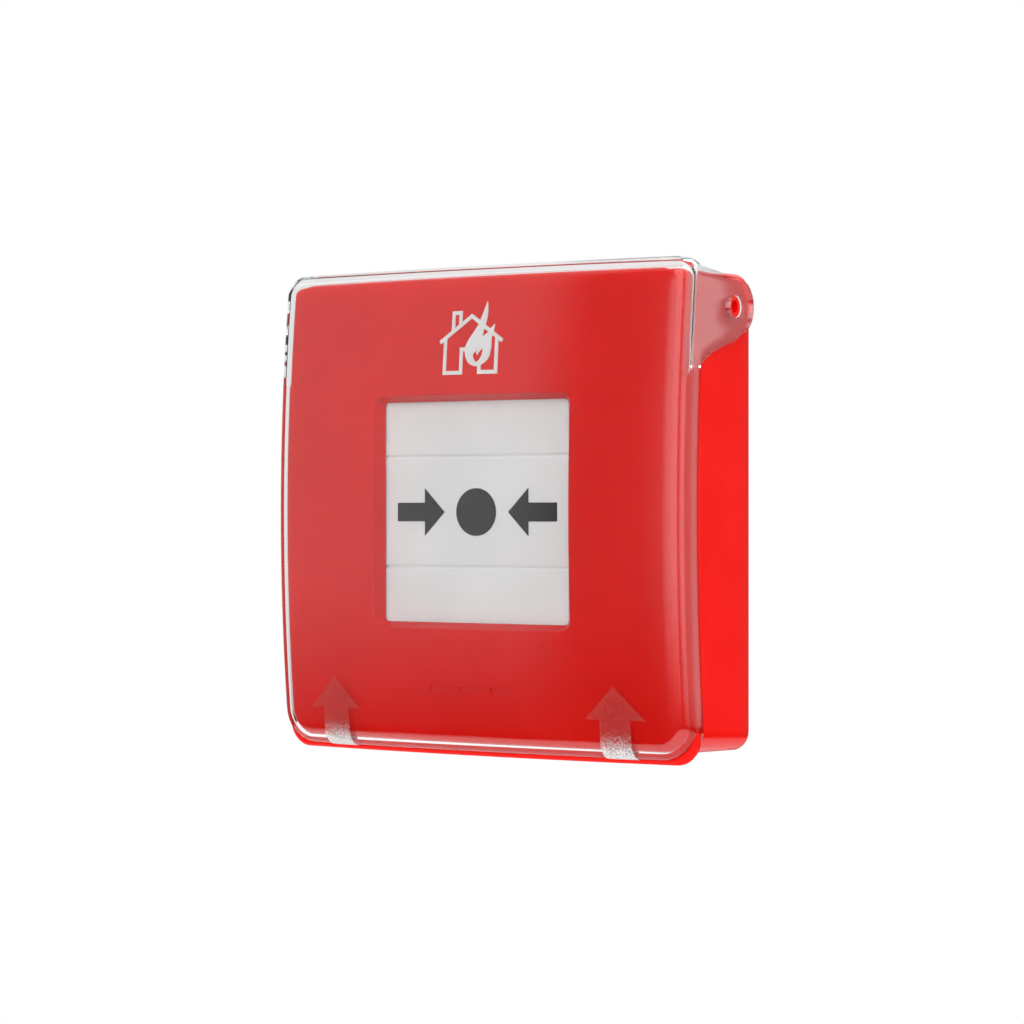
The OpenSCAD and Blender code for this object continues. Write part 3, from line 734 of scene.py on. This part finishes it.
def cover_arrows(mat):
    """Two arrows that follow the cover's skin round its lower edge."""
    end = FILLET_TURN
    flat_z = COVER_BOTTOM + COVER_FILLET * (1 - math.cos(end))
    tip = ARROW_TIP - flat_z
    barb = tip - ARROW_HEAD
    low = -COVER_FILLET * end
    across = 8
    sheets = []
    for sx in (-1, 1):
        rows = []
        for k in range(9):
            s = tip + (barb - tip) * k / 8
            rows.append((s, max(HEAD_HALF * k / 8, 0.02)))
        for k in range(17):
            rows.append((barb - 0.001 + (low - barb) * k / 16, SHAFT_HALF))
        verts, faces = [], []
        for s, half in rows:
            for c in range(across + 1):
                verts.append(lid_surface(sx * ARROW_X + half * (2 * c / across - 1), s))
        for i in range(len(rows) - 1):
            for c in range(across):
                a = i * (across + 1) + c
                faces.append((a, a + 1, a + across + 2, a + across + 1))
        sheets.append(new_mesh("arrow", verts, faces))
    arrows = joined("frosted_arrows", sheets)
    thick = arrows.modifiers.new("thickness", "SOLIDIFY")
    thick.thickness = 0.02 * MM
    thick.offset = 0
    apply_modifiers(arrows)
    smooth(arrows)
    arrows.data.materials.append(mat)
    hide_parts("cover_arrows")
    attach(arrows, "cover")


def push_panel(white):
    """Panel with soft edges and two shallow rolled grooves."""
    side = PANEL_HIGH[0]
    low, high = PANEL_LOW[2], PANEL_HIGH[2]
    front = WINDOW_DEPTH - 0.3
    back = front - 2.0
    groove_z = 12.15
    half_w = 0.55
    depth = 0.4
    heights = [low, low + 0.1, low + 0.3, low + 0.6]
    heights += [low + 0.6 + (high - low - 1.2) * k / 24 for k in range(1, 24)]
    for g in (-groove_z, groove_z):
        heights += [g + half_w * k / 5 for k in range(-6, 7)]
    heights += [high - 0.6, high - 0.3, high - 0.1, high]
    heights = sorted(set(round(z, 4) for z in heights))
    edges = [0, 0.1, 0.3, 0.6]
    columns = [-side + e for e in edges] + [-side + 0.6 + (2 * side - 1.2) * k / 16 for k in range(1, 16)]
    columns += [side - e for e in reversed(edges)]

    def drop(distance):
        reach = 0.6
        if distance >= reach:
            return 0
        return reach - math.sqrt(reach**2 - (reach - distance) ** 2)

    verts, faces = [], []
    for z in heights:
        for x in columns:
            d = front - max(drop(side - abs(x)), drop(min(z - low, high - z)))
            for g in (-groove_z, groove_z):
                off = abs(z - g) / half_w
                if off < 1.2:
                    d -= depth * (0.5 + 0.5 * math.cos(math.pi * off / 1.2))
            verts.append((x, d, z))
    wide = len(columns)
    tall = len(heights)
    for i in range(tall - 1):
        for j in range(wide - 1):
            a = i * wide + j
            faces.append((a, a + 1, a + wide + 1, a + wide))
    rim = [j for j in range(wide)]
    rim += [i * wide + wide - 1 for i in range(1, tall)]
    rim += [(tall - 1) * wide + j for j in range(wide - 2, -1, -1)]
    rim += [i * wide for i in range(tall - 2, 0, -1)]
    n = len(verts)
    verts += [(verts[k][0], back, verts[k][2]) for k in rim]
    m = len(rim)
    faces += [(rim[k], rim[(k + 1) % m], n + (k + 1) % m, n + k) for k in range(m)]
    faces.append(tuple(range(n, n + m)))
    panel = new_mesh("press_panel", verts, faces)
    for sx in (-1, 1):
        lug = front_prism("lug", outline(2, -3, 3, 0.4, 0.4, 3, 1), 23.0, back + 0.5)
        for v in lug.data.vertices:
            v.co.x += sx * 15 * MM
        boolean(panel, "UNION", lug)
    smooth(panel, 40)
    panel.data.materials.clear()
    panel.data.materials.append(white)
    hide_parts("push_panel")
    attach(panel, "panel")


def helix(name, axis_point, direction, length, r, wire, turns, mat):
    """Coil spring with closed ground ends, as a swept tube in metres."""
    sides, per_turn = 12, 28
    direction = Vector(direction)
    u = direction.orthogonal().normalized()
    v = direction.cross(u)
    start = Vector(axis_point)
    steps = turns * per_turn
    path = []
    for i in range(steps + 1):
        a = 2 * math.pi * i / per_turn
        t = i / steps
        ease = t - math.sin(2 * math.pi * t) / (2 * math.pi) * 0.35
        along = wire + (length - 2 * wire) * ease
        path.append(start + direction * along * MM + (u * math.cos(a) + v * math.sin(a)) * r * MM)
    verts, faces = [], []
    for i, p in enumerate(path):
        ahead = path[min(i + 1, steps)] - path[max(i - 1, 0)]
        ahead.normalize()
        a = 2 * math.pi * i / per_turn
        out = u * math.cos(a) + v * math.sin(a)
        side = ahead.cross(out).normalized()
        for k in range(sides):
            b = 2 * math.pi * k / sides
            q = p + (out * math.cos(b) + side * math.sin(b)) * wire * MM
            verts.append((q.x / MM, -q.y / MM, q.z / MM))
    for i in range(steps):
        for k in range(sides):
            a = i * sides
            faces.append((a + k, a + (k + 1) % sides, a + sides + (k + 1) % sides, a + sides + k))
    faces.append(tuple(range(sides)))
    faces.append(tuple(steps * sides + k for k in range(sides)))
    spring = new_mesh(name, verts, faces)
    smooth(spring, 50)
    spring.data.materials.append(mat)
    return spring


def springs(steel):
    for sx, name in ((-1, "return_spring_left"), (1, "return_spring_right")):
        spring = helix(name, (sx * CARRIER_X * MM, -0.0156, 0), (0, -1, 0), 6.9, 2.9, 0.3, 5, steel)
        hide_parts("return_springs")
        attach(spring, "case")
        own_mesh(spring)
    low, high = box_mm("reset_spring")
    foot = (0, -(low[1] + high[1]) / 2 * MM, low[2] * MM)
    spring = helix("reset_coil", foot, (0, 0, 1), high[2] - low[2], 1.5, 0.25, 5, steel)
    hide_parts("reset_spring")
    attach(spring, "case")
    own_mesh(spring)


# ---------- light, floor and camera ----------
ROOM = 0.14
LEFT_BOX = 0.27
RIGHT_BOX = 1.5
TOP_BOX = 0.25
BACKDROP = 0.85
FRONT_BOX = 2.8
THROUGH_LEFT = 0.4
THROUGH_BACK = 0.86


def soft_light(name, place, aim, size, power, glossy=True):
    lamp = bpy.data.lights.new(name, "AREA")
    lamp.shape = "RECTANGLE"
    lamp.size, lamp.size_y = size
    lamp.energy = power
    obj = bpy.data.objects.new(name, lamp)
    bpy.context.scene.collection.objects.link(obj)
    obj.location = place
    obj.rotation_euler = (Vector(aim) - Vector(place)).to_track_quat("-Z", "Y").to_euler()
    obj.visible_glossy = glossy
    obj.visible_transmission = glossy
    obj.visible_camera = False
    return obj


def compass(tree):
    """Nodes for where a ray looks: degrees to the right of straight ahead, and its upward part."""
    place = tree.nodes.new("ShaderNodeTexCoord")
    split = tree.nodes.new("ShaderNodeSeparateXYZ")
    tree.links.new(place.outputs["Generated"], split.inputs["Vector"])
    ahead = calc(tree, "MULTIPLY", split.outputs["Y"], -1.0)
    turn = calc(tree, "ARCTAN2", split.outputs["X"], ahead)
    return calc(tree, "MULTIPLY", turn, 180 / math.pi), split.outputs["Z"]


def calc(tree, operation, *values):
    """A math node over sockets or numbers."""
    node = tree.nodes.new("ShaderNodeMath")
    node.operation = operation
    for k, value in enumerate(values):
        if isinstance(value, (int, float)):
            node.inputs[k].default_value = value
        else:
            tree.links.new(value, node.inputs[k])
    return node.outputs["Value"]


def ramp(tree, value, start, end):
    """0 before start and 1 after end, with a soft step between them."""
    node = tree.nodes.new("ShaderNodeMapRange")
    node.interpolation_type = "SMOOTHSTEP"
    node.inputs["From Min"].default_value = start
    node.inputs["From Max"].default_value = end
    tree.links.new(value, node.inputs["Value"])
    return node.outputs["Result"]


def studio():
    """White backdrop for the eye, and a dim room with a soft box at each side for everything else."""
    world = bpy.data.worlds.new("studio")
    bpy.context.scene.world = world
    world.use_nodes = True
    tree = world.node_tree
    tree.nodes.clear()
    turn, up = compass(tree)
    left = calc(tree, "MULTIPLY", ramp(tree, turn, -24, -31), ramp(tree, turn, -122, -112))
    back = calc(tree, "MULTIPLY", ramp(tree, turn, -112, -122), ramp(tree, turn, -178, -172))
    right = calc(tree, "MULTIPLY", ramp(tree, turn, 48, 62), ramp(tree, turn, 149.5, 148))
    front = calc(tree, "MULTIPLY", ramp(tree, turn, -20, -12), ramp(tree, turn, 48, 38))
    behind = ramp(tree, calc(tree, "ABSOLUTE", turn), 100, 112)
    above = ramp(tree, up, 0.45, 0.75)
    below = ramp(tree, up, -0.04, -0.3)
    path = tree.nodes.new("ShaderNodeLightPath")
    through = calc(tree, "MULTIPLY", path.outputs["Is Transmission Ray"], THROUGH_LEFT)
    left_level = calc(tree, "ADD", LEFT_BOX, through)
    level = calc(tree, "ADD", ROOM, calc(tree, "MULTIPLY", left, left_level))
    not_through = calc(tree, "SUBTRACT", 1.0, path.outputs["Is Transmission Ray"])
    mirrored = calc(tree, "MULTIPLY", path.outputs["Is Glossy Ray"], not_through)
    dull = calc(tree, "SUBTRACT", 1.0, calc(tree, "MULTIPLY", mirrored, 0.9))
    level = calc(tree, "ADD", level, calc(tree, "MULTIPLY", calc(tree, "MULTIPLY", front, dull), FRONT_BOX))
    level = calc(tree, "ADD", level, calc(tree, "MULTIPLY", right, RIGHT_BOX))
    level = calc(tree, "ADD", level, calc(tree, "MULTIPLY", back, BACKDROP))
    level = calc(tree, "ADD", level, calc(tree, "MULTIPLY", above, TOP_BOX))
    level = calc(tree, "MULTIPLY", level, calc(tree, "SUBTRACT", 1.0, calc(tree, "MULTIPLY", below, 0.97)))
    white = calc(tree, "MULTIPLY", path.outputs["Is Transmission Ray"], behind)
    level = calc(tree, "MULTIPLY", level, calc(tree, "SUBTRACT", 1.0, white))
    level = calc(tree, "ADD", level, calc(tree, "MULTIPLY", white, THROUGH_BACK))
    out = tree.nodes.new("ShaderNodeOutputWorld")
    seen = tree.nodes.new("ShaderNodeBackground")
    seen.inputs["Color"].default_value = (1, 1, 1, 1)
    room = tree.nodes.new("ShaderNodeBackground")
    room.inputs["Color"].default_value = (1, 1, 1, 1)
    tree.links.new(level, room.inputs["Strength"])
    mix = tree.nodes.new("ShaderNodeMixShader")
    tree.links.new(path.outputs["Is Camera Ray"], mix.inputs["Fac"])
    tree.links.new(room.outputs["Background"], mix.inputs[1])
    tree.links.new(seen.outputs["Background"], mix.inputs[2])
    tree.links.new(mix.outputs["Shader"], out.inputs["Surface"])


def floor():
    """Pale round floor, well below the wall-mounted object."""
    points = circle_points(0, 0, 700, 96)
    disc = new_mesh("floor", [(x, d, -300.0) for x, d in points], [tuple(range(len(points)))])
    mat, tree, shader = material("floor_paint", (0.75, 0.75, 0.75), 0.7)
    add_bump(tree, shader, noise(tree, 40), 0.1)
    disc.data.materials.append(mat)


def camera():
    """Eye at mid height, to the right of the front."""
    lens = bpy.data.cameras.new("camera")
    lens.lens = 103.8
    lens.sensor_width = 36
    obj = bpy.data.objects.new("camera", lens)
    bpy.context.scene.collection.objects.link(obj)
    azimuth = math.radians(33.6)
    distance = 0.658
    target = Vector((0, -0.015, 0))
    obj.location = target + Vector((math.sin(azimuth), -math.cos(azimuth), 0)) * distance
    obj.rotation_euler = (target - obj.location).to_track_quat("-Z", "Y").to_euler()
    bpy.context.scene.camera = obj


# ---------- put together ----------
red = moulded("red_plastic", (0.80, 0.006, 0.003), 0.22, Specular_IOR_Level=0.14)
white = moulded("white_plastic", (0.86, 0.86, 0.86), 0.45)
ivory = moulded("ivory_plastic", (0.75, 0.72, 0.64), 0.45)
black = moulded("black_plastic", (0.02, 0.02, 0.02), 0.4)
grey = moulded("grey_plastic", (0.18, 0.18, 0.19), 0.45)
white_ink = moulded("white_print", (0.88, 0.88, 0.87), 0.5, grain_mm=0.15)
dark_ink = moulded("dark_print", (0.008, 0.008, 0.008), 0.5, grain_mm=0.15)
yellow = moulded("yellow_film", (0.95, 0.72, 0.05), 0.35)
rubber = moulded("rubber", (0.04, 0.04, 0.04), 0.7)
steel = brushed_steel()
board = solder_mask()
sleeve = battery_sleeve()
clear = clear_plastic()
FINISH = {
    "red_plastic": red,
    "white_plastic": white,
    "ivory_plastic": ivory,
    "black_plastic": black,
    "grey_plastic": grey,
    "clear_plastic": clear,
    "white_print": white_ink,
    "dark_print": dark_ink,
    "yellow_film": yellow,
    "rubber": rubber,
    "steel": steel,
    "circuit_board": board,
    "battery_sleeve": sleeve,
}
REBUILT = {"front_shell", "cover", "cover_arrows", "push_panel", "return_springs", "reset_spring"}
SLOTS = {part["node"]: part["material_slot"] for part in frame["record"]["subparts"]}
SHARP = {
    "house_symbol",
    "panel_symbols",
    "antenna",
    "alarm_strip",
    "battery_contacts",
    "board_screws",
    "case_screws",
}

camera()
studio()
floor()
for node, obj in NODES.items():
    if node in REBUILT:
        continue
    obj.data.materials.clear()
    obj.data.materials.append(FINISH[SLOTS[node]])
    if node not in SHARP:
        add_bevel(obj, 0.2, 2)
front_shell(red)
cover(clear)
cover_arrows(frosted_print())
push_panel(white)
springs(steel)
soft_light("front_fill", (-0.35, -1.2, 0.35), (0, 0, 0), (1.0, 1.0), 4, glossy=False)
bpy.context.scene.view_settings.view_transform = "Standard"
